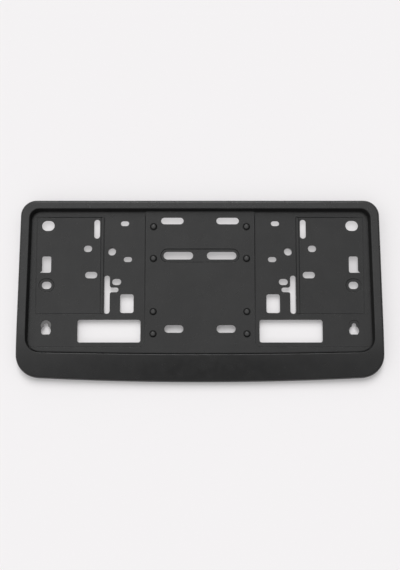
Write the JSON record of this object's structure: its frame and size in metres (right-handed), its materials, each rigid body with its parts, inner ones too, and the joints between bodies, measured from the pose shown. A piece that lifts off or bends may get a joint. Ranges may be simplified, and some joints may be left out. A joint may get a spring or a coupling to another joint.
{
  "type": "number plate holder",
  "caption": "Moulded plastic number plate holder: a rimmed tray with a wide lower bar and a sunk panel full of fixing slots, for screwing to a car's bumper.",
  "frame": {"origin": "middle of the back plane, which the holder rests on", "axes": "+X along the plate, +Y towards the plate's top edge, +Z out of the front"},
  "size_m": [0.41, 0.2042, 0.019],
  "materials": {
    "black_plastic": "fine matte moulding grain"
  },
  "bodies": {
    "root": {"plate_holder": "black_plastic"}
  },
  "joints": []
}
